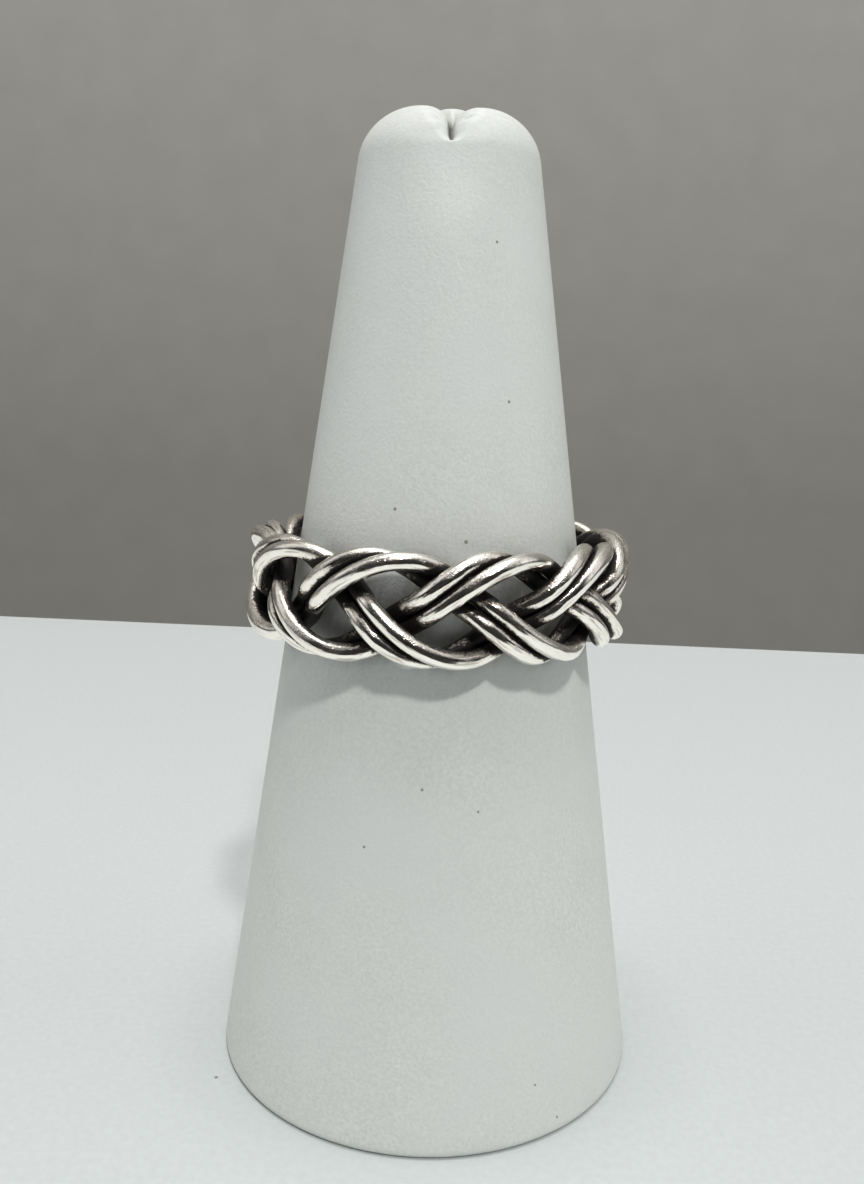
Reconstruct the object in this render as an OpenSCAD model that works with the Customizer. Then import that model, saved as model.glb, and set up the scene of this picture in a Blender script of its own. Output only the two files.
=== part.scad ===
// Braided band ring on its ring cone.
// The band is a flat three-lead plait that closes on itself after three laps of the finger. The one strand
// that runs through it is a pair of round silver wires lying side by side, and each wire is a closed loop.
// The ring's axis is vertical. The origin is at the centre of the cone's foot, with the front towards -Y.

/* [Ring] */
// Finger hole, across the innermost wires
hole_d = 17.6; // [15:0.1:21]
// Height of the braided band, edge to edge
band_h = 6.1; // [5.2:0.1:7.2]
// Scallops along each edge of the band
bights = 10; // [9:1:11]
// Diameter of each silver wire
wire_d = 0.9; // [0.7:0.05:1]
// Clear gap between the two wires of the strand
pair_gap = 0.14; // [0.12:0.01:0.2]
// Clear gap where the strand passes over itself
layer_gap = 0.17; // [0.15:0.01:0.25]
// Turn of the braid about the finger, in degrees
braid_turn = -5.3; // [-18:0.1:18]

/* [Ring cone] */
// Diameter of the cone's foot
foot_d = 25.3; // [23:0.1:28]
// Diameter that the straight side would reach at the top
top_d = 9.3; // [7:0.1:12]
// Height of the cone
cone_h = 55.4; // [48:0.1:65]
// Round under the foot's edge
foot_round = 0.4; // [0.2:0.05:0.8]
// Radius of the circle that the dome's crest follows
crest_r = 1.06; // [0.8:0.02:1.4]
// Depth of the gathered centre below the crest
pinch_depth = 1.6; // [1:0.1:2.2]
// Width of the floor of each fold in the gathered top
fold_w = 0.1; // [0.08:0.01:0.2]
// Clear gap between the ring's lowest wires and the cone
seat_gap = 0.12; // [0.1:0.01:0.2]

/* [Facets] */
// Sides of each wire
wire_sides = 12; // [8:1:12]
// Rings of points along each wire from one scallop to the next
rings_per_bight = 33; // [24:1:33]

/* [Hidden] */

silver = [0.72, 0.72, 0.70];
leatherette = [0.84, 0.86, 0.85];

// Laps that the strand makes before it closes, and the separate loops if the count of scallops divides by it
leads = 3;
loops = bights % leads == 0 ? leads : 1;
bights_per_loop = bights / loops;
bight_angle = 360 / bights;

// The path is a sine with a sharper peak, leans forward a little, and sways as it crosses
shoulder = 0.14;
lean = 0.033;
sway = -0.0955 * bight_angle;
// The pair of wires rolls over at each edge of the band, and keeps flat in between
hold = 0.12;
// Shares of the pair's pitch by which the rolled pair stands in from the path and past its peaks
roll_in = 0.139;
roll_past = 0.153;

wire_r = wire_d / 2;
pair_pitch = wire_d + pair_gap;
// The two layers are furthest apart a third of a phase turn from each edge
swing = (wire_d + layer_gap) / (2 * cos(30));
mean_r = hole_d / 2 + wire_r + swing + roll_in * pair_pitch;
rise = ((band_h - wire_d) / 2 - roll_past * pair_pitch) / (1 + shoulder);

foot_r = foot_d / 2;
slope = (foot_d - top_d) / 2 / cone_h;
side_angle = atan(slope);
dome_r = (top_d / 2 - crest_r) * cos(side_angle) / (1 - sin(side_angle));
foot_round_x = foot_r - slope * foot_round - foot_round / cos(side_angle);
// The pit opens a little wider than the crest
pit_r = 1.25 * crest_r;
// Directions of the folds about the axis, with the depth at which each one starts and its fall outwards
FOLD_AZ = 0;
FOLD_DEPTH = 1;
FOLD_FALL = 2;
folds = [
    [-90, 0.75 * pinch_depth, 12],
    [30, pinch_depth, 3],
    [150, pinch_depth, 3],
];

function unit(v) = v / norm(v);
function square_to(v, axis) = unit(v - (v * axis) * axis);

// Centre line of the strand at phase t, where 360 degrees of phase run from one upper scallop to the next
// that the strand makes, three scallops on
function path_angle(t) = braid_turn + leads * t / bights + sway * sin(2 * t);
function path_r(t) = mean_r + swing * sin(2 * t);
function path_z(t) = rise * (sin(t) - shoulder * sin(3 * t) - lean * cos(3 * t));
function path(t) = [path_r(t) * sin(path_angle(t)), -path_r(t) * cos(path_angle(t)), path_z(t)];

// Directions along the strand, away from the finger, and across the strand within the band
small_step = 0.01;
function along(t) = unit(path(t + small_step) - path(t - small_step));
function outward(t) = square_to([sin(path_angle(t)), -cos(path_angle(t)), 0], along(t));
function across(t) = cross(outward(t), along(t));

// Direction from the outer wire to the inner wire of the pair
function roll(t) = 90 * (1 - (cos(t) - hold * cos(3 * t)) / (1 - hold));
function pair_side(t) = cos(roll(t)) * across(t) - sin(roll(t)) * outward(t);

// Centre line of one wire, with which = 1 for the inner wire and -1 for the outer one
function wire_centre(t, which) = path(t) + which * pair_pitch / 2 * pair_side(t);
function wire_along(t, which) =
    unit(wire_centre(t + small_step, which) - wire_centre(t - small_step, which));

function wire_ring(t, which) =
    let (
        centre = wire_centre(t, which),
        ahead = wire_along(t, which),
        u = square_to(pair_side(t), ahead),
        v = cross(ahead, u)
    )
    [for (k = [0 : wire_sides - 1])
        centre + wire_r * (cos(360 * k / wire_sides) * u + sin(360 * k / wire_sides) * v)];

function turned(p, a) = [p.x * cos(a) - p.y * sin(a), p.x * sin(a) + p.y * cos(a), p.z];

// Height of the ring's middle above the foot: the ring slides down until a wire meets the seat gap, and it
// never sinks below the surface that the cone stands on
function seat_at(p) = (foot_r - norm([p.x, p.y]) + (seat_gap + wire_r) / cos(side_angle)) / slope - p.z;
seat_step = 3;
seats = [for (t = [0 : seat_step : 359], which = [-1, 1]) seat_at(wire_centre(t, which))];
ring_z = max(band_h / 2, max(seats));

// One wire: a closed tube for each loop, as triangles between neighbouring rings of points
module wire(which) {
    ring_count = rings_per_bight * bights_per_loop;
    loop_size = ring_count * wire_sides;
    points = [
        for (loop = [0 : loops - 1], j = [0 : ring_count - 1])
            for (p = wire_ring(j * 360 / rings_per_bight, which))
                turned(p, loop * bight_angle)
    ];
    faces = [
        for (loop = [0 : loops - 1], j = [0 : ring_count - 1], k = [0 : wire_sides - 1])
            let (
                here = loop * loop_size + j * wire_sides,
                next = loop * loop_size + ((j + 1) % ring_count) * wire_sides,
                k2 = (k + 1) % wire_sides
            )
            each [[here + k, next + k, next + k2], [here + k, next + k2, here + k2]]
    ];
    translate([0, 0, ring_z])
        polyhedron(points = points, faces = faces, convexity = 20);
}

module inner_wire() {
    color(silver)
        wire(1);
}

module outer_wire() {
    color(silver)
        wire(-1);
}

// Half outline of the cone, with its rounded foot and its dome
module cone_outline() {
    dome_z = cone_h - dome_r;
    side_low = [foot_round_x + foot_round * cos(side_angle), foot_round * (1 + sin(side_angle))];
    side_high = [crest_r + dome_r * cos(side_angle), dome_z + dome_r * sin(side_angle)];
    polygon([[0, 0], [foot_round_x, 0], side_low, side_high, [crest_r, cone_h], [0, cone_h]]);
    translate([foot_round_x, foot_round])
        circle(foot_round, $fn = 48);
    intersection() {
        translate([crest_r, dome_z])
            circle(dome_r, $fn = 96);
        translate([crest_r, dome_z])
            square([dome_r, dome_r]);
    }
}

// Cone with the pit in the middle of its gathered top
module pitted_cone() {
    difference() {
        rotate_extrude($fn = 128)
            cone_outline();
        translate([0, 0, cone_h - pinch_depth])
            cylinder(h = 2 * pinch_depth, r1 = fold_w, r2 = 2 * pit_r - fold_w, $fn = 64);
    }
}

// Cut that narrows from the width of the crest ring at the top to its floor
module fold_section(depth) {
    polygon([
        [-fold_w / 2, 0], [fold_w / 2, 0], [crest_r, depth], [crest_r, depth + crest_r],
        [-crest_r, depth + crest_r], [-crest_r, depth]
    ]);
}

module fold(az, depth, fall) {
    rotate([0, 0, az])
        translate([0, 0, cone_h - depth])
            rotate([0, fall, 0])
                rotate([90, 0, 90])
                    linear_extrude(height = foot_r)
                        fold_section(depth);
}

module ring_cone() {
    color(leatherette)
        difference() {
            pitted_cone();
            for (f = folds)
                fold(f[FOLD_AZ], f[FOLD_DEPTH], f[FOLD_FALL]);
        }
}

inner_wire();
outer_wire();
ring_cone();
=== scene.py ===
import bpy
import math
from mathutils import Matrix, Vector, noise
from mathutils.bvhtree import BVHTree


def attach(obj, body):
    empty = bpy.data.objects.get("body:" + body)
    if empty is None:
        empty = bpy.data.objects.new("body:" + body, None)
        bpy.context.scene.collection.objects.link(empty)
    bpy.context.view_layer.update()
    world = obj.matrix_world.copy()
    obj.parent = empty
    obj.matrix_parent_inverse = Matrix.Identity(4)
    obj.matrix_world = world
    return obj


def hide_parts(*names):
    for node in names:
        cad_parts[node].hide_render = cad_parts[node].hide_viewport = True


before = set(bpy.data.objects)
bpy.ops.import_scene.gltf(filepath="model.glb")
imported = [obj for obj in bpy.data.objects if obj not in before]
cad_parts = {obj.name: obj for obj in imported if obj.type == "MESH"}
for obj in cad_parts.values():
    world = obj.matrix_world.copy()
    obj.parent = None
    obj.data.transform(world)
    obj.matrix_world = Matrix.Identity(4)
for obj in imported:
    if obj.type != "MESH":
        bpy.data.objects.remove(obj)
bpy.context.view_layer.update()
mm = 0.001
print("frame loaded:", ", ".join(sorted(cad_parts)))


def place(tree, kind, values=None, **settings):
    node = tree.nodes.new(kind)
    for key, value in settings.items():
        setattr(node, key, value)
    for key, value in (values or {}).items():
        if isinstance(value, bpy.types.NodeSocket):
            tree.links.new(value, node.inputs[key])
        else:
            node.inputs[key].default_value = value
    return node


def sums(tree, operation, a, b):
    return place(tree, "ShaderNodeMath", {0: a, 1: b}, operation=operation).outputs[0]


def addShare(tree, base, value, share):
    return sums(tree, "ADD", base, sums(tree, "MULTIPLY", value, share))


def spread(tree, value, fromTo, low=0.0, high=1.0, kind="SMOOTHSTEP"):
    values = {"Value": value, "From Min": fromTo[0], "From Max": fromTo[1], "To Min": low, "To Max": high}
    return place(tree, "ShaderNodeMapRange", values, interpolation_type=kind).outputs["Result"]


def blendColour(tree, share, a, b):
    a, b = [(*c, 1) if isinstance(c, tuple) else c for c in (a, b)]
    return place(tree, "ShaderNodeMix", {0: share, 6: a, 7: b}, data_type="RGBA").outputs[2]


def attribute(tree, name, output="Fac"):
    return place(tree, "ShaderNodeAttribute", attribute_name=name).outputs[output]


def newGroup(name, numbers):
    # every group takes a place and numbers, and gives one value that changes over the surface
    tree = bpy.data.node_groups.new(name, "ShaderNodeTree")
    tree.interface.new_socket("Place", in_out="INPUT", socket_type="NodeSocketVector")
    for label, value in numbers.items():
        socket = tree.interface.new_socket(label, in_out="INPUT", socket_type="NodeSocketFloat")
        socket.default_value = value
    tree.interface.new_socket("Value", in_out="OUTPUT", socket_type="NodeSocketFloat")
    return tree, tree.nodes.new("NodeGroupInput").outputs, tree.nodes.new("NodeGroupOutput").inputs


def useGroup(tree, group, where, numbers):
    return place(tree, "ShaderNodeGroup", {"Place": where, **numbers}, node_tree=group).outputs["Value"]


def newMaterial(name, colour, roughness):
    material = bpy.data.materials.new(name)
    material.use_nodes = True
    material.diffuse_color = (*colour, 1)
    tree = material.node_tree
    shader = tree.nodes["Principled BSDF"]
    shader.inputs["Base Color"].default_value = (*colour, 1)
    shader.inputs["Roughness"].default_value = roughness
    where = tree.nodes.new("ShaderNodeTexCoord").outputs["Object"]
    return material, tree, shader, where


def addBump(tree, shader, height, strength, relief):
    bump = place(tree, "ShaderNodeBump", {"Height": height, "Strength": strength, "Distance": relief * mm})
    tree.links.new(bump.outputs["Normal"], shader.inputs["Normal"])


# slow change over the surface, from Low to High
drift, into, out = newGroup("drift", {"Scale": 500.0, "Detail": 3.0, "Low": 0.0, "High": 1.0})
cloud = place(drift, "ShaderNodeTexNoise",
              {"Vector": into["Place"], "Scale": into["Scale"], "Detail": into["Detail"]}).outputs[0]
drift.links.new(spread(drift, cloud, (0.3, 0.7), into["Low"], into["High"], "LINEAR"), out["Value"])

# small round pits or pores, which come in patches
pits, into, out = newGroup("pits", {"Scale": 9000.0, "Size": 0.3, "Patches": 1200.0})
cells = place(pits, "ShaderNodeTexVoronoi", {"Vector": into["Place"], "Scale": into["Scale"]})
hole = spread(pits, cells.outputs["Distance"], (0.0, into["Size"]), 1.0, 0.0)
patch = place(pits, "ShaderNodeTexNoise",
              {"Vector": into["Place"], "Scale": into["Patches"], "Detail": 2.0}).outputs[0]
pits.links.new(sums(pits, "MULTIPLY", hole, spread(pits, patch, (0.42, 0.6))), out["Value"])


braid = {
    "hole": 17.6,            # as in the CAD, in millimetres
    "height": 6.1,
    "scallops": 10,
    "wire": 0.9,
    "pairGap": 0.07,         # closer than in the CAD, as the groove between the wires shows black
    "layerGap": 0.17,
    "turn": -5.3,            # degrees
    "shoulder": 0.14,
    "lean": 0.033,
    "sway": -0.0955,
    "hold": 0.12,
    "rollIn": 0.139,
    "rollPast": 0.153,
    "middle": 29.24,         # height of the ring's middle above the foot
    "pointsPerScallop": 150,
    "sides": 24,
    "swell": 1.065,          # thickness against the CAD's wire
    "uneven": 0.03,          # how much the thickness varies, and over what scale
    "unevenScale": 0.45,
    "dentDepth": 0.024,
    "dentSize": 0.9,
    "stretch": 1.25,         # length of the strand against its laps of the finger
}

leads = 3
pitch = braid["wire"] + braid["pairGap"]
swing = (braid["wire"] + braid["layerGap"]) / (2 * math.cos(math.radians(30)))
meanRadius = braid["hole"] / 2 + braid["wire"] / 2 + swing + braid["rollIn"] * pitch
rise = ((braid["height"] - braid["wire"]) / 2 - braid["rollPast"] * pitch) / (1 + braid["shoulder"])
# the loops start at the back, where the strand passes under itself
loopStart = 2 * math.pi * 5 + 0.75 * math.pi


def sweepAngle(t):
    swayTurn = braid["sway"] * 2 * math.pi / braid["scallops"] * math.sin(2 * t)
    return math.radians(braid["turn"]) + leads * t / braid["scallops"] + swayTurn


def strandPoint(t):
    angle = sweepAngle(t)
    radius = meanRadius + swing * math.sin(2 * t)
    height = rise * (math.sin(t) - braid["shoulder"] * math.sin(3 * t) - braid["lean"] * math.cos(3 * t))
    return Vector((radius * math.sin(angle), -radius * math.cos(angle), height))


def wirePoint(t, side):
    # side is 1 for the wire that lies nearer the finger at the edges, and -1 for the other
    step = 0.0002
    along = (strandPoint(t + step) - strandPoint(t - step)).normalized()
    outward = Vector((math.sin(sweepAngle(t)), -math.cos(sweepAngle(t)), 0))
    outward = (outward - outward.dot(along) * along).normalized()
    across = outward.cross(along)
    roll = math.pi / 2 * (1 - (math.cos(t) - braid["hold"] * math.cos(3 * t)) / (1 - braid["hold"]))
    return strandPoint(t) + side * pitch / 2 * (math.cos(roll) * across - math.sin(roll) * outward)


def makeWire(name, side, seed):
    count = braid["pointsPerScallop"] * braid["scallops"]
    radius = braid["wire"] / 2
    curve = bpy.data.curves.new(name, "CURVE")
    curve.dimensions = "3D"
    curve.bevel_depth = radius * mm
    curve.bevel_resolution = braid["sides"] // 2 - 2
    line = curve.splines.new("POLY")
    line.points.add(count - 1)
    line.use_cyclic_u = True
    for i, point in enumerate(line.points):
        p = wirePoint(loopStart + 2 * math.pi * i / braid["pointsPerScallop"], side)
        point.co = ((p + Vector((0, 0, braid["middle"]))) * mm).to_4d()
        uneven = noise.noise(p * braid["unevenScale"] + Vector((0, 0, seed)))
        point.radius = braid["swell"] + braid["uneven"] * uneven
    wire = bpy.data.objects.new(name, curve)
    bpy.context.scene.collection.objects.link(wire)
    bpy.ops.object.select_all(action="DESELECT")
    bpy.context.view_layer.objects.active = wire
    wire.select_set(True)
    bpy.ops.object.convert(target="MESH")
    dents = bpy.data.textures.new(name + "Dents", "CLOUDS")
    dents.noise_scale = braid["dentSize"] * mm
    press = wire.modifiers.new("dents", "DISPLACE")
    press.texture = dents
    press.strength = braid["dentDepth"] * mm
    press.mid_level = 0.5
    bpy.ops.object.modifier_apply(modifier=press.name)
    bpy.ops.object.shade_smooth()
    # place of each point on the wire as if it were straight, so that the polishing marks run along it
    places = []
    step = 2 * math.pi * meanRadius * leads / count * braid["stretch"]
    for v in wire.data.vertices:
        ring, corner = divmod(v.index, braid["sides"])
        a = 2 * math.pi * corner / braid["sides"]
        places += [ring * step * mm, radius * math.cos(a) * mm, radius * math.sin(a) * mm]
    wire.data.attributes.new("straight", "FLOAT_VECTOR", "POINT").data.foreach_set("vector", places)
    return wire


wires = [makeWire("braidWireInner", 1, 3.1), makeWire("braidWireOuter", -1, 8.7)]
print("wires:", [len(w.data.polygons) for w in wires], "faces")


cone = {
    "foot": 25.3,            # as in the CAD, in millimetres
    "top": 9.3,
    "cadHeight": 55.4,
    "height": 55.12,         # of the plain dome, before the back lobe swells up to the full height
    "dome": 3.05,            # radius of the dome's shoulder
    "footRound": 0.4,
    "columns": 256,
    "footSteps": 8,          # rings of points on the foot's round, the side, the dome and the flat top
    "sideSteps": 70,
    "domeSteps": 85,
    "topSteps": 40,
    "gatherFrom": 44,        # the dome is shaped above the first height, and smoothed above the second
    "smoothFrom": 47,
    "pinch": (0.1, -2.2),    # where the leatherette is gathered, seen from above
    # the two sharp folds behind the pinch: direction in degrees, and on which side of it the back lobe lies
    "folds": [(52, 1), (128, -1)],
    "foldDepth": 2.4,
    "foldReach": 4.0,
    "foldFade": 1.2,         # power of the fold's fall towards its far end
    "foldLift": 0.8,         # upward share of the surface at which the folds have their full depth
    "sharp": 0.03,           # rounding at the bottom of a fold
    "frontLobe": 2.2,        # half widths of the folds' flanks
    "backLobe": 0.6,
    "backReach": 4.2,
    "cleft": 1.6,            # depth of the hollow between the two front lobes
    "cleftWidth": 2.0,
    "cleftEnd": 0.35,        # upward share at which the cleft starts to round out, and over how much
    "cleftFade": 0.4,
    "cleftSharp": 0.05,      # rounding of its floor, and how much is added at its end
    "cleftRound": 1.7,
    "cleftLift": 0.5,        # upward share at which it has its full depth
    "cleftBack": 0.8,        # how far behind the pinch the cleft runs out
    "crease": 0.4,           # depth of the sharp line where the two lobes touch
    "creaseWidth": 0.4,
    "creaseEnd": 0.3,        # upward share at which it ends, and over how much it deepens
    "creaseFade": 0.25,
    "creaseBow": (0.03, 0.35, 0.75),      # its place sideways, and how it bows on its way down
    "dimple": 0.36,          # depth of the soft dip below the cleft
    "dimpleWidth": 3,        # half width, and how far in front of the axis it is full
    "dimpleFront": 3,
    "dimpleFrom": 48,        # height at which it starts, and over how much it deepens
    "dimpleRise": 5,
    "dimpleEnd": 0.35,       # upward share at which it starts to run out, and over how much
    "dimpleFade": 0.55,
    # short creases beside the cleft: direction, from, to, depth, half width
    "gather": (0.1, -4.15),
    "creases": [(32, 0.15, 1.5, 0.15, 0.13), (8, 0.3, 1.4, 0.11, 0.13), (58, 0.3, 1.2, 0.10, 0.11),
                (155, 0.2, 1.4, 0.11, 0.15), (184, 0.2, 1.5, 0.08, 0.18), (214, 0.3, 1.1, 0.06, 0.15)],
    "backSwell": (0.07, 0.1, -0.2, 1.9),      # height, place and width of the back lobe's swell
    "swellFront": (1.4, 0.8),             # how far in front of the axis it starts, and over how much
    "wrinkles": 0.03,        # depth of the faint wrinkles below the dome, and where they are
    "wrinkleScale": (0.5, 1.9),           # sideways and up
    "wrinkleHeight": 50.2,
    "wrinkleBand": 2.4,
    "shadeCrease": 0.48,    # half widths of the painted shade lines in the crease and in the folds
    "shadeFold": 0.36,
    "shadeFade": 0.35,      # how much fainter the folds' lines are at their far ends
    "shadeEnd": 0.2,
}

slope = (cone["foot"] - cone["top"]) / 2 / cone["cadHeight"]
tilt = math.atan(slope)
domeHeight = cone["height"] - cone["dome"]
domeMiddle = Vector((cone["foot"] / 2 - slope * domeHeight - cone["dome"] / math.cos(tilt), domeHeight))
footX = cone["foot"] / 2 - slope * cone["footRound"] - cone["footRound"] / math.cos(tilt)
pinch = Vector(cone["pinch"])


def coneOutline():
    rings = []
    for i in range(cone["footSteps"] + 1):
        a = -math.pi / 2 + (math.pi / 2 + tilt) * i / cone["footSteps"]
        rings.append((footX + cone["footRound"] * math.cos(a), cone["footRound"] * (1 + math.sin(a))))
    low = rings[-1]
    high = (domeMiddle.x + cone["dome"] * math.cos(tilt), domeMiddle.y + cone["dome"] * math.sin(tilt))
    for i in range(1, cone["sideSteps"]):
        rings.append((low[0] + (high[0] - low[0]) * i / cone["sideSteps"],
                      low[1] + (high[1] - low[1]) * i / cone["sideSteps"]))
    for i in range(cone["domeSteps"] + 1):
        a = tilt + (math.pi / 2 - tilt) * i / cone["domeSteps"]
        rings.append((domeMiddle.x + cone["dome"] * math.cos(a), domeMiddle.y + cone["dome"] * math.sin(a)))
    for i in range(1, cone["topSteps"]):
        rings.append((domeMiddle.x * (1 - i / cone["topSteps"]), cone["height"]))
    return rings


def ease(value):
    value = min(max(value, 0.0), 1.0)
    return value * value * (3 - 2 * value)


def lobe(share):
    # drop of a round flank, from 1 in the fold to 0 on the crest
    return 1 - math.sqrt(max(0.0, 1 - (1 - min(share, 1.0)) ** 2))


def besideRay(p, direction):
    # how far p lies along a ray, how far off it, and on which side
    ray = Vector((math.cos(math.radians(direction)), math.sin(math.radians(direction))))
    along = p.dot(ray)
    return along, (p - max(along, 0) * ray).length, ray.x * p.y - ray.y * p.x


def offCrease(x, upward):
    # sideways distance from the crease, which bows a little on its way down
    start, first, second = cone["creaseBow"]
    down = 1 - upward
    return abs(x - start + first * down - second * down * down)


def foldDepth(p, upward):
    # the folds behind the pinch and the flanks of the front lobes, with the back lobe between the folds
    total = 0.0
    inner = []
    for direction, backSide in cone["folds"]:
        along, off, side = besideRay(p, direction)
        off = math.hypot(off, cone["sharp"])
        if side * backSide > 0 and along > 0:
            inner.append(off / cone["backLobe"])
        else:
            fade = max(0.0, 1 - (max(along, 0) / cone["foldReach"]) ** cone["foldFade"])
            fade *= ease(upward / cone["foldLift"])
            total = max(total, cone["foldDepth"] * fade * lobe(off / cone["frontLobe"]))
    if len(inner) == 2:
        # the back lobe rounds off towards the pinch
        share = inner[0] * inner[1] / math.hypot(*inner)
        fade = max(0.0, 1 - (p.length / cone["backReach"]) ** cone["foldFade"])
        total = cone["foldDepth"] * fade * lobe(share)
    return total


def cleftDepth(p, upward):
    fade = 1 - ease((upward - cone["cleftEnd"] + cone["cleftFade"]) / cone["cleftFade"])
    rounded = cone["cleftSharp"] + cone["cleftRound"] * fade
    depth = cone["cleft"] * lobe(math.hypot(p.x, rounded) / cone["cleftWidth"])
    return depth * ease(upward / cone["cleftLift"]) * ease(0.5 - p.y / cone["cleftBack"])


def dimpleDepth(flat, height, upward):
    wide = 0.5 + 0.5 * math.cos(math.pi * min(abs(flat.x) / cone["dimpleWidth"], 1))
    depth = cone["dimple"] * wide * ease(-flat.y / cone["dimpleFront"])
    depth *= ease((height - cone["dimpleFrom"]) / cone["dimpleRise"])
    return depth * (1 - ease((upward - cone["dimpleEnd"]) / cone["dimpleFade"]))


def shortCreases(flat):
    total = 0.0
    p = flat - Vector(cone["gather"])
    for direction, start, end, depth, halfWidth in cone["creases"]:
        along, off, _ = besideRay(p, direction)
        if start < along < end:
            lengthwise = math.sin(math.pi * (along - start) / (end - start))
            total += depth * lengthwise * math.exp(-(off / halfWidth) ** 2)
    return total


def backSwell(flat):
    height, x, y, width = cone["backSwell"]
    front, fade = cone["swellFront"]
    away = (flat.x - x) ** 2 + (flat.y - y) ** 2
    return height * math.exp(-away / width ** 2) * ease((flat.y + front) / fade)


def gatherDepth(flat, height, upward):
    # flat is the point seen from above, and upward is the upward share of its surface
    p = flat - pinch
    total = max(foldDepth(p, upward), cleftDepth(p, upward))
    if p.y < 0:
        sharp = lobe(offCrease(flat.x, upward) / cone["creaseWidth"])
        total += cone["crease"] * sharp * ease((upward - cone["creaseEnd"]) / cone["creaseFade"])
    total = max(total, dimpleDepth(flat, height, upward))
    return total + shortCreases(flat) - backSwell(flat)


def wrinkleDepth(p, front):
    band = math.exp(-((p.z - cone["wrinkleHeight"]) / cone["wrinkleBand"]) ** 2)
    sideways, up = cone["wrinkleScale"]
    uneven = 1 + noise.noise(Vector((p.x * sideways, p.y * sideways, p.z * up)))
    return cone["wrinkles"] * uneven * front ** 2 * band


def creaseShadeMark(flat, upward):
    # mark for the painted shade in the crease and the folds: 1 in the middle of the crease and of the
    # folds, falling to nothing beside them
    if flat.y < cone["pinch"][1]:
        mark = max(0.0, 1 - offCrease(flat.x, upward) / cone["shadeCrease"])
        return mark * ease((upward - cone["creaseEnd"]) / cone["shadeEnd"])
    mark = 0.0
    for direction, _ in cone["folds"]:
        along, off, _ = besideRay(flat - pinch, direction)
        fade = 1 - cone["shadeFade"] * max(along, 0) / cone["foldReach"]
        mark = max(mark, (1 - off / cone["shadeFold"]) * fade)
    return mark


def makeCone():
    rings = coneOutline()
    bpy.ops.object.select_all(action="DESELECT")
    bpy.ops.mesh.primitive_circle_add(vertices=cone["columns"], radius=rings[0][0] * mm, location=(0, 0, 0))
    piece = bpy.context.object
    piece.name = piece.data.name = "ringCone"
    bpy.ops.object.mode_set(mode="EDIT")
    bpy.ops.mesh.select_all(action="SELECT")
    for (r0, z0), (r1, z1) in zip(rings, rings[1:]):
        bpy.ops.mesh.extrude_edges_move(TRANSFORM_OT_translate={"value": (0, 0, (z1 - z0) * mm)})
        bpy.ops.transform.resize(value=(r1 / r0, r1 / r0, 1), center_override=(0, 0, z1 * mm))
    bpy.ops.mesh.merge(type="CENTER")
    bpy.ops.mesh.select_all(action="DESELECT")
    bpy.ops.object.mode_set(mode="OBJECT")
    for v in piece.data.vertices:
        v.select = v.co.z < 0.001 * mm
    bpy.ops.object.mode_set(mode="EDIT")
    bpy.ops.mesh.edge_face_add()
    bpy.ops.mesh.select_all(action="SELECT")
    bpy.ops.mesh.normals_make_consistent(inside=False)
    bpy.ops.object.mode_set(mode="OBJECT")
    # the leatherette is gathered at the top: each point moves in from the plain dome
    marks = [0.0] * len(piece.data.vertices)
    for v in piece.data.vertices:
        p = v.co / mm
        v.select = p.z > cone["smoothFrom"]
        if p.z < cone["gatherFrom"]:
            continue
        flat = Vector((p.x, p.y))
        r = max(flat.length, 0.0001)
        lift = math.pi / 2
        if r > domeMiddle.x:
            lift = max(0.0, math.atan2(p.z - domeMiddle.y, r - domeMiddle.x))
        inward = Vector((-flat.x / r * math.cos(lift), -flat.y / r * math.cos(lift), -math.sin(lift)))
        upward = math.sin(lift)
        depth = gatherDepth(flat, p.z, upward) + wrinkleDepth(p, max(0.0, -flat.y / r))
        # the mark for the painted shade in the crease and the folds
        marks[v.index] = creaseShadeMark(flat, upward)
        v.co = (p + inward * depth) * mm
    bpy.ops.object.mode_set(mode="EDIT")
    bpy.ops.mesh.vertices_smooth(factor=0.5, repeat=1)
    bpy.ops.mesh.select_all(action="DESELECT")
    bpy.ops.object.mode_set(mode="OBJECT")
    piece.data.attributes.new("fold", "FLOAT", "POINT").data.foreach_set("value", marks)
    bpy.ops.object.shade_smooth()
    return piece


ringCone = makeCone()
print("cone:", len(ringCone.data.polygons), "faces")


# how deep each point lies in the braid, as seen from just off its surface
recess = {
    "reach": 2.0,            # millimetres
    "rays": 24,
    "raysTurn": 2.399963,    # turn from one ray to the next, so that they spread evenly
    "start": 0.012,
    "fade": 0.55,            # how much less the furthest hit counts
    "zone": (20, 36),        # heights between which the cone is marked
}


def recessRays():
    rays = []
    for i in range(recess["rays"]):
        lift = math.sqrt((i + 0.5) / recess["rays"])
        flat = math.sqrt(1 - lift * lift)
        turn = i * recess["raysTurn"]
        rays.append((lift, flat * math.cos(turn), flat * math.sin(turn)))
    return rays


def recessAt(v, tree, rays):
    normal = v.normal
    side = normal.orthogonal().normalized()
    other = normal.cross(side)
    start = v.co + normal * recess["start"] * mm
    reach = recess["reach"] * mm
    total = 0.0
    for lift, a, b in rays:
        away = tree.ray_cast(start, normal * lift + side * a + other * b, reach)[3]
        if away is not None:
            total += 1 - recess["fade"] * away / reach
    return total / len(rays)


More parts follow.
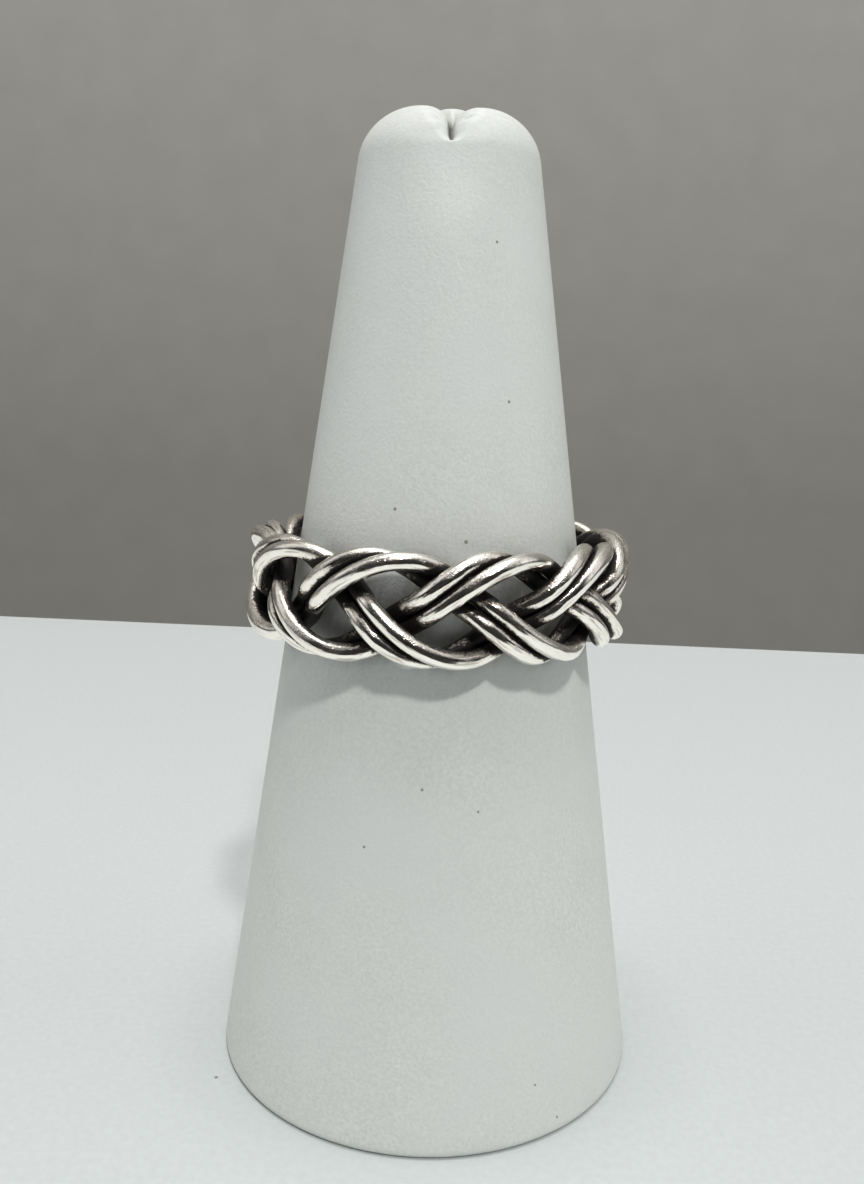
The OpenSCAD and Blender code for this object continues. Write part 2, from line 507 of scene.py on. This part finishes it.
def markRecess():
    corners = []
    faces = []
    for piece in wires + [ringCone]:
        start = len(corners)
        corners += [v.co.copy() for v in piece.data.vertices]
        # the cone's foot has one large face, which no ray from the braid meets
        faces += [[start + i for i in f.vertices] for f in piece.data.polygons if len(f.vertices) < 5]
    tree = BVHTree.FromPolygons(corners, faces)
    rays = recessRays()
    low, high = (height * mm for height in recess["zone"])
    for piece in wires + [ringCone]:
        values = [0.0 if piece is ringCone and not low < v.co.z < high else recessAt(v, tree, rays)
                  for v in piece.data.vertices]
        piece.data.attributes.new("recess", "FLOAT", "POINT").data.foreach_set("value", values)
    for wire in wires:
        upward = wire.data.attributes.new("upward", "FLOAT", "POINT")
        upward.data.foreach_set("value", [v.normal.z for v in wire.data.vertices])


markRecess()
print("recesses marked")


silver = {
    "colour": (0.985, 0.962, 0.912),
    # the tarnish colour is the brown patina, and also darkens the upper faces as painted shade and the back
    # of the ring
    "tarnishAndShade": (0.25, 0.19, 0.13),
    "black": (0.014, 0.012, 0.011),
    "polish": 0.09,                   # roughness of the worn, bright faces
    # how deep in the braid the black and the brown start and are full, and how uneven their edges are
    "blackFromTo": (0.14, 0.25),
    "brownFromTo": (0.07, 0.24),
    "patchy": {"Scale": 1500.0, "Low": -0.07, "High": 0.07},
    "grainy": {"Scale": 9000.0, "Low": -0.06, "High": 0.06},
    "brownTarnish": 0.75,
    "brownRough": 0.08,
    "blackRough": 0.25,
    "blackMetal": 0.35,
    "blackMetalFromTo": (0.3, 1.0),
    # the upper faces and the recesses keep their cast grain, the rest is worn smooth; the upper faces are
    # also darkened, a painted shade that dims their reflection, and the recesses by their patina
    "castUpward": (0.05, 0.55),
    "castRecess": (0.10, 0.25),
    "castEdge": {"Scale": 900.0, "Low": -0.35, "High": 0.35},
    "castTarnishAndShade": 0.22,
    "castRough": 0.15,
    "castPits": {"Scale": 9500.0, "Size": 0.5, "Patches": 1300.0},
    "pitTarnish": 0.7,
    "pitRelief": 1.5,
    "castGrain": {"Scale": 7000.0, "Detail": 2.0},
    "grainRelief": 0.8,
    # polishing marks, ten times as long as they are wide
    "lengthwise": (0.1, 1.0, 1.0),
    "streaks": {"Scale": 8000.0},
    "streakFromTo": (0.55, 0.95),
    "streakTarnish": 0.6,
    "streakRelief": 0.6,
    "wearAndShade": {"Scale": 5000.0, "High": 0.06},
    "waves": {"Scale": 1600.0, "Detail": 1.0},
    "waveRelief": 2.6,
    # the back half of the ring, behind the axis, is darkened towards the tarnish colour
    "backFromTo": (0.0, 0.007),
    "backDarkening": 0.45,
    "bump": 0.7,
    "relief": 0.012,
}


def makeSilver():
    material, tree, shader, where = newMaterial("oxidisedSilver", silver["colour"], silver["polish"])
    deep = attribute(tree, "recess")
    straight = attribute(tree, "straight", "Vector")
    lengthwise = place(tree, "ShaderNodeVectorMath", {0: straight, 1: silver["lengthwise"]},
                       operation="MULTIPLY").outputs[0]
    depth = sums(tree, "ADD", deep, useGroup(tree, drift, where, silver["patchy"]))
    depth = sums(tree, "ADD", depth, useGroup(tree, drift, where, silver["grainy"]))
    black = spread(tree, depth, silver["blackFromTo"])
    brown = spread(tree, depth, silver["brownFromTo"])
    castAndShade = sums(tree, "ADD", attribute(tree, "upward"), useGroup(tree, drift, where, silver["castEdge"]))
    castAndShade = sums(tree, "MAXIMUM",
                spread(tree, castAndShade, silver["castUpward"]), spread(tree, deep, silver["castRecess"]))
    holes = sums(tree, "MULTIPLY", useGroup(tree, pits, where, silver["castPits"]), castAndShade)
    streaks = useGroup(tree, drift, lengthwise, silver["streaks"])
    behind = place(tree, "ShaderNodeSeparateXYZ", {"Vector": where}).outputs["Y"]

    tarnishAndShadeShares = [
        sums(tree, "MULTIPLY", spread(tree, streaks, silver["streakFromTo"]), silver["streakTarnish"]),
        # painted shade: the upper faces are darkened to dim their reflection; in the recesses this is
        # patina
        sums(tree, "MULTIPLY", castAndShade, silver["castTarnishAndShade"]),
        # the back half of the ring is darker
        spread(tree, behind, silver["backFromTo"], 0.0, silver["backDarkening"]),
        sums(tree, "MULTIPLY", brown, silver["brownTarnish"]),
        sums(tree, "MULTIPLY", holes, silver["pitTarnish"])]
    colour = silver["colour"]
    for share in tarnishAndShadeShares:
        colour = blendColour(tree, share, colour, silver["tarnishAndShade"])
    tree.links.new(blendColour(tree, black, colour, silver["black"]), shader.inputs["Base Color"])
    metal = spread(tree, black, silver["blackMetalFromTo"], 1.0, silver["blackMetal"])
    tree.links.new(metal, shader.inputs["Metallic"])

    rough = sums(tree, "ADD", useGroup(tree, drift, lengthwise, silver["wearAndShade"]), silver["polish"])
    rough = addShare(tree, rough, castAndShade, silver["castRough"])
    rough = addShare(tree, rough, brown, silver["brownRough"])
    rough = addShare(tree, rough, black, silver["blackRough"])
    tree.links.new(rough, shader.inputs["Roughness"])

    grain = sums(tree, "MULTIPLY", useGroup(tree, drift, where, silver["castGrain"]), silver["grainRelief"])
    grain = sums(tree, "SUBTRACT", grain, sums(tree, "MULTIPLY", holes, silver["pitRelief"]))
    waves = useGroup(tree, drift, lengthwise, silver["waves"])
    relief = sums(tree, "MULTIPLY", grain, castAndShade)
    relief = addShare(tree, relief, waves, silver["waveRelief"])
    relief = addShare(tree, relief, streaks, silver["streakRelief"])
    addBump(tree, shader, relief, silver["bump"], silver["relief"])
    return material


leather = {
    "colour": (0.80, 0.83, 0.79),
    "dusk": (0.745, 0.77, 0.75),
    "pearl": (0.76, 0.782, 0.764),
    # soil darkens the fine weave, and is also the colour of the painted shade at the creases and under the
    # ring; crease is the colour of the painted shade line in the creases
    "soilAndShade": (0.22, 0.21, 0.18),
    "crease": (0.06, 0.055, 0.05),
    "roughness": 0.5,
    "gloss": 0.35,
    "mottle": {"Scale": 420.0, "Detail": 4.0, "High": 0.6},
    "weave": {"Scale": 5200.0, "Detail": 1.0},
    "weaveSoil": 0.16,
    # painted sheen: patches tinted towards the pearl colour stand in for the leatherette's pearly sheen
    "sheen": {"Scale": 120.0, "Detail": 1.0, "High": 0.8},
    # the creases at the top: painted shade, soft beside them and a dark line in them, by the mark on the
    # mesh
    "shadeFromTo": (0.1, 1.0),
    "shadeShare": 0.2,
    "lineFromTo": (0.5, 0.9),
    "lineShare": 0.95,
    # painted shade: where the ring shades the leatherette, by its recess mark, it is greyed
    "ringShadeFromTo": (0.12, 0.5),
    "ringShadeShare": 0.75,
    "uneven": {"Scale": 2500.0, "Low": 0.42, "High": 0.58},
    "pores": {"Scale": 3600.0, "Size": 0.5, "Patches": 700.0},
    "poreRelief": 0.7,
    "pebble": {"Scale": 6000.0},
    "swell": {"Scale": 700.0, "Detail": 2.0, "High": 0.7},
    "bump": 0.5,
    "relief": 0.017,
    # small dark specks, and the end of a thread in the cleft: x, y, z and radius in millimetres
    "specks": [(2.57, -5.15, 47.75, 0.10), (3.46, -5.99, 39.66, 0.11), (-2.31, -7.38, 34.04, 0.11),
               (1.42, -7.83, 32.48, 0.13), (-0.49, -9.80, 19.65, 0.10), (2.48, -9.67, 18.47, 0.09),
               (-3.48, -9.69, 16.33, 0.10), (6.08, -10.55, 3.24, 0.09), (7.44, -10.05, 0.96, 0.09)],
    "speckColour": (0.30, 0.28, 0.25),
    "threadEnd": [(0.18, -4.0, 52.85, 0.14)],
    "threadColour": (0.85, 0.70, 0.40),
}


def addSpecks(tree, where, colour, specks, tint):
    for x, y, z, radius in specks:
        spot = {0: where, 1: (x * mm, y * mm, z * mm)}
        away = place(tree, "ShaderNodeVectorMath", spot, operation="DISTANCE").outputs["Value"]
        share = spread(tree, away, (radius * 0.5 * mm, radius * mm), 1.0, 0.0)
        colour = blendColour(tree, share, colour, tint)
    return colour


def makeLeatherette():
    material, tree, shader, where = newMaterial("whiteLeatherette", leather["colour"], leather["roughness"])
    shader.inputs["Specular IOR Level"].default_value = leather["gloss"]
    mottle = useGroup(tree, drift, where, leather["mottle"])
    weave = sums(tree, "MULTIPLY", useGroup(tree, drift, where, leather["weave"]), leather["weaveSoil"])
    # painted sheen: random patches tinted towards the pearl colour
    sheen = useGroup(tree, drift, where, leather["sheen"])
    colour = blendColour(tree, mottle, leather["colour"], leather["dusk"])
    colour = blendColour(tree, weave, colour, leather["soilAndShade"])
    colour = blendColour(tree, sheen, colour, leather["pearl"])
    # painted shade in the creases and folds: a soft grey beside them and a dark line in them
    fold = attribute(tree, "fold")
    creaseShade = spread(tree, fold, leather["shadeFromTo"], 0.0, leather["shadeShare"])
    colour = blendColour(tree, creaseShade, colour, leather["soilAndShade"])
    line = spread(tree, fold, leather["lineFromTo"], 0.0, leather["lineShare"])
    colour = blendColour(tree, line, colour, leather["crease"])
    colour = addSpecks(tree, where, colour, leather["specks"], leather["speckColour"])
    colour = addSpecks(tree, where, colour, leather["threadEnd"], leather["threadColour"])
    # painted shade under the ring: the leatherette is greyed where it lies deep in the braid
    wearAndShade = spread(tree, attribute(tree, "recess"), leather["ringShadeFromTo"], 0.0, leather["ringShadeShare"])
    tree.links.new(blendColour(tree, wearAndShade, colour, leather["soilAndShade"]), shader.inputs["Base Color"])
    tree.links.new(useGroup(tree, drift, where, leather["uneven"]), shader.inputs["Roughness"])
    relief = sums(tree, "ADD", useGroup(tree, drift, where, leather["pebble"]),
                  useGroup(tree, drift, where, leather["swell"]))
    pores = sums(tree, "MULTIPLY", useGroup(tree, pits, where, leather["pores"]), leather["poreRelief"])
    addBump(tree, shader, sums(tree, "SUBTRACT", relief, pores), leather["bump"], leather["relief"])
    return material


silverMaterial = makeSilver()
for wire, node in zip(wires, ("inner_wire", "outer_wire")):
    wire.data.materials.clear()
    wire.data.materials.append(silverMaterial)
    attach(wire, "root")
    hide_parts(node)
ringCone.data.materials.append(makeLeatherette())
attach(ringCone, "root")
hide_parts("ring_cone")
print("materials set")


# lengths of the stage are in metres
stage = {
    "table": (0.585, 0.617, 0.622),
    "tableShine": (0.70, 0.72, 0.70),     # the table as the silver mirrors it, which is brighter
    "tableRough": 0.55,
    "tableScale": 2200.0,
    "tableHalf": 0.9,
    "tableBack": 0.111,      # the table's far edge, behind the cone's axis
    "tableTurn": -3.8,       # degrees
    "tableSpeck": [(-12.2, -6.2, 0, 0.14)],   # millimetres
    "speckColour": (0.2, 0.19, 0.17),
    "shineHalf": 0.5,
    "shineLift": 0.0002,
    "wall": (0.515, 0.506, 0.462),
    "wallRough": 0.8,
    "wallScale": 60.0,
    "wallHalf": 1.6,
    "wallBack": 0.40,
    "wallBottom": -0.5,
    "wallTop": 1.2,
    "roomRadius": 1.5,
    "darker": 0.94,          # the tone that the table and the walls drift to
    "gloss": 0.3,
    "bump": 0.2,
    "relief": 0.02,
    "card": (0.035, 0.032, 0.03),
    "cardRough": 0.9,
    "cardHalf": 0.06,
    "cardFront": -0.07,
    "cardBottom": 0.001,
    "cardTop": 0.09,
}


def makeSheet(name, corners):
    bpy.ops.object.select_all(action="DESELECT")
    bpy.ops.mesh.primitive_plane_add(size=1)
    sheet = bpy.context.object
    sheet.name = sheet.data.name = name
    for v, corner in zip(sheet.data.vertices, corners):
        v.co = corner
    return sheet


def level(half, farLeft, farRight, z):
    return [(-half, -half, z), (half, -half, z), (-half, farLeft, z), (half, farRight, z)]


def upright(half, y, low, high):
    return [(-half, y, low), (half, y, low), (-half, y, high), (half, y, high)]


def paint(piece, colour, roughness, scale, specks=()):
    material, tree, shader, where = newMaterial(piece.name, colour, roughness)
    shader.inputs["Specular IOR Level"].default_value = stage["gloss"]
    tone = useGroup(tree, drift, where, {"Scale": scale, "Detail": 6.0})
    shade = blendColour(tree, tone, colour, tuple(c * stage["darker"] for c in colour))
    shade = addSpecks(tree, where, shade, specks, stage["speckColour"])
    tree.links.new(shade, shader.inputs["Base Color"])
    addBump(tree, shader, tone, stage["bump"], stage["relief"])
    piece.data.materials.append(material)


far = stage["tableBack"]
turn = stage["tableHalf"] * math.tan(math.radians(stage["tableTurn"]))
tableTop = makeSheet("tableTop", level(stage["tableHalf"], far - turn, far + turn, 0))
paint(tableTop, stage["table"], stage["tableRough"], stage["tableScale"], stage["tableSpeck"])

tableShine = makeSheet("tableShine", level(stage["shineHalf"], far, far, stage["shineLift"]))
paint(tableShine, stage["tableShine"], stage["tableRough"], stage["tableScale"])
tableShine.visible_camera = tableShine.visible_diffuse = tableShine.visible_shadow = False

low, high = stage["wallBottom"], stage["wallTop"]
greyWall = makeSheet("greyWall", upright(stage["wallHalf"], stage["wallBack"], low, high))
paint(greyWall, stage["wall"], stage["wallRough"], stage["wallScale"])

# a round wall, which only the camera sees, closes the views from the sides and the back
bpy.ops.object.select_all(action="DESELECT")
bpy.ops.mesh.primitive_cylinder_add(
    vertices=128, radius=stage["roomRadius"], depth=high - low, end_fill_type="NOTHING", location=(0, 0, 0))
roomWall = bpy.context.object
roomWall.name = roomWall.data.name = "roomWall"
bpy.ops.object.mode_set(mode="EDIT")
bpy.ops.mesh.select_all(action="SELECT")
bpy.ops.transform.translate(value=(0, 0, (high + low) / 2))
bpy.ops.mesh.flip_normals()
bpy.ops.object.mode_set(mode="OBJECT")
bpy.ops.object.shade_smooth()
paint(roomWall, stage["wall"], stage["wallRough"], stage["wallScale"])
roomWall.visible_diffuse = roomWall.visible_glossy = roomWall.visible_shadow = False

# a dark card in front of the ring, which only the silver sees, gives the wires their dark bands
darkCard = makeSheet(
    "darkCard", upright(stage["cardHalf"], stage["cardFront"], stage["cardBottom"], stage["cardTop"]))
darkMaterial, _, _, _ = newMaterial("darkCard", stage["card"], stage["cardRough"])
darkCard.data.materials.append(darkMaterial)
darkCard.visible_camera = darkCard.visible_diffuse = darkCard.visible_shadow = False


lamps = {
    "aim": 0.03,             # height that the lamps turn about and point at, in metres
    # degrees to the right of the front, degrees up, distance, size, watts, colour
    "keyLamp": (15, 51, 1.0, 0.085, 4.0, (1.0, 0.99, 0.97)),
    "ceilingLamp": (0, 88, 1.2, 0.6, 7.0, (1.0, 1.0, 1.0)),
}


def makeLamp(name):
    right, up, distance, size, power, colour = lamps[name]
    a, e = math.radians(right), math.radians(up)
    spot = Vector((distance * math.sin(a) * math.cos(e), -distance * math.cos(a) * math.cos(e),
                   lamps["aim"] + distance * math.sin(e)))
    lamp = bpy.data.lights.new(name, "AREA")
    lamp.shape = "DISK"
    lamp.size = size
    lamp.energy = power
    lamp.color = colour
    piece = bpy.data.objects.new(name, lamp)
    piece.location = spot
    piece.rotation_euler = (Vector((0, 0, lamps["aim"])) - spot).to_track_quat("-Z", "Y").to_euler()
    bpy.context.scene.collection.objects.link(piece)


makeLamp("keyLamp")
makeLamp("ceilingLamp")

room = {
    "colour": (1.0, 0.99, 0.97),
    "low": 0.10,             # brightness near the horizon
    "high": 0.90,            # brightness overhead
    "brightFromTo": (0.05, 0.42),         # heights of the two, as the upward share of the direction
    "darkFromTo": (0.22, 0.52),           # the dark room behind the camera, as the forward share
    "darkShare": 0.04,
}
world = bpy.data.worlds.new("softRoom")
bpy.context.scene.world = world
world.use_nodes = True
sky = world.node_tree
direction = sky.nodes.new("ShaderNodeTexCoord").outputs["Generated"]
parts = place(sky, "ShaderNodeSeparateXYZ", {"Vector": direction}).outputs
overhead = spread(sky, parts["Z"], room["brightFromTo"], room["low"], room["high"])
forward = sums(sky, "MULTIPLY", parts["Y"], -1.0)
behindCamera = spread(sky, forward, room["darkFromTo"], 1.0, room["darkShare"])
background = sky.nodes["Background"].inputs
sky.links.new(sums(sky, "MULTIPLY", overhead, behindCamera), background["Strength"])
background["Color"].default_value = (*room["colour"], 1)

bpy.context.scene.view_settings.view_transform = "Standard"

photoView = {
    "place": (0, -0.06254, 0.04014),
    "turn": (79.2914, -1.5700, 0.5777),   # degrees
    "lens": 32.418,          # on a 36 mm long side, which is the frame's height
    "sensor": 36,
}
lens = bpy.data.cameras.new("photoView")
lens.lens = photoView["lens"]
lens.sensor_width = photoView["sensor"]
lens.clip_start = 0.002
lens.clip_end = 10
camera = bpy.data.objects.new("photoView", lens)
camera.location = photoView["place"]
camera.rotation_euler = [math.radians(angle) for angle in photoView["turn"]]
bpy.context.scene.collection.objects.link(camera)
bpy.context.scene.camera = camera
print("stage, lights and camera set")
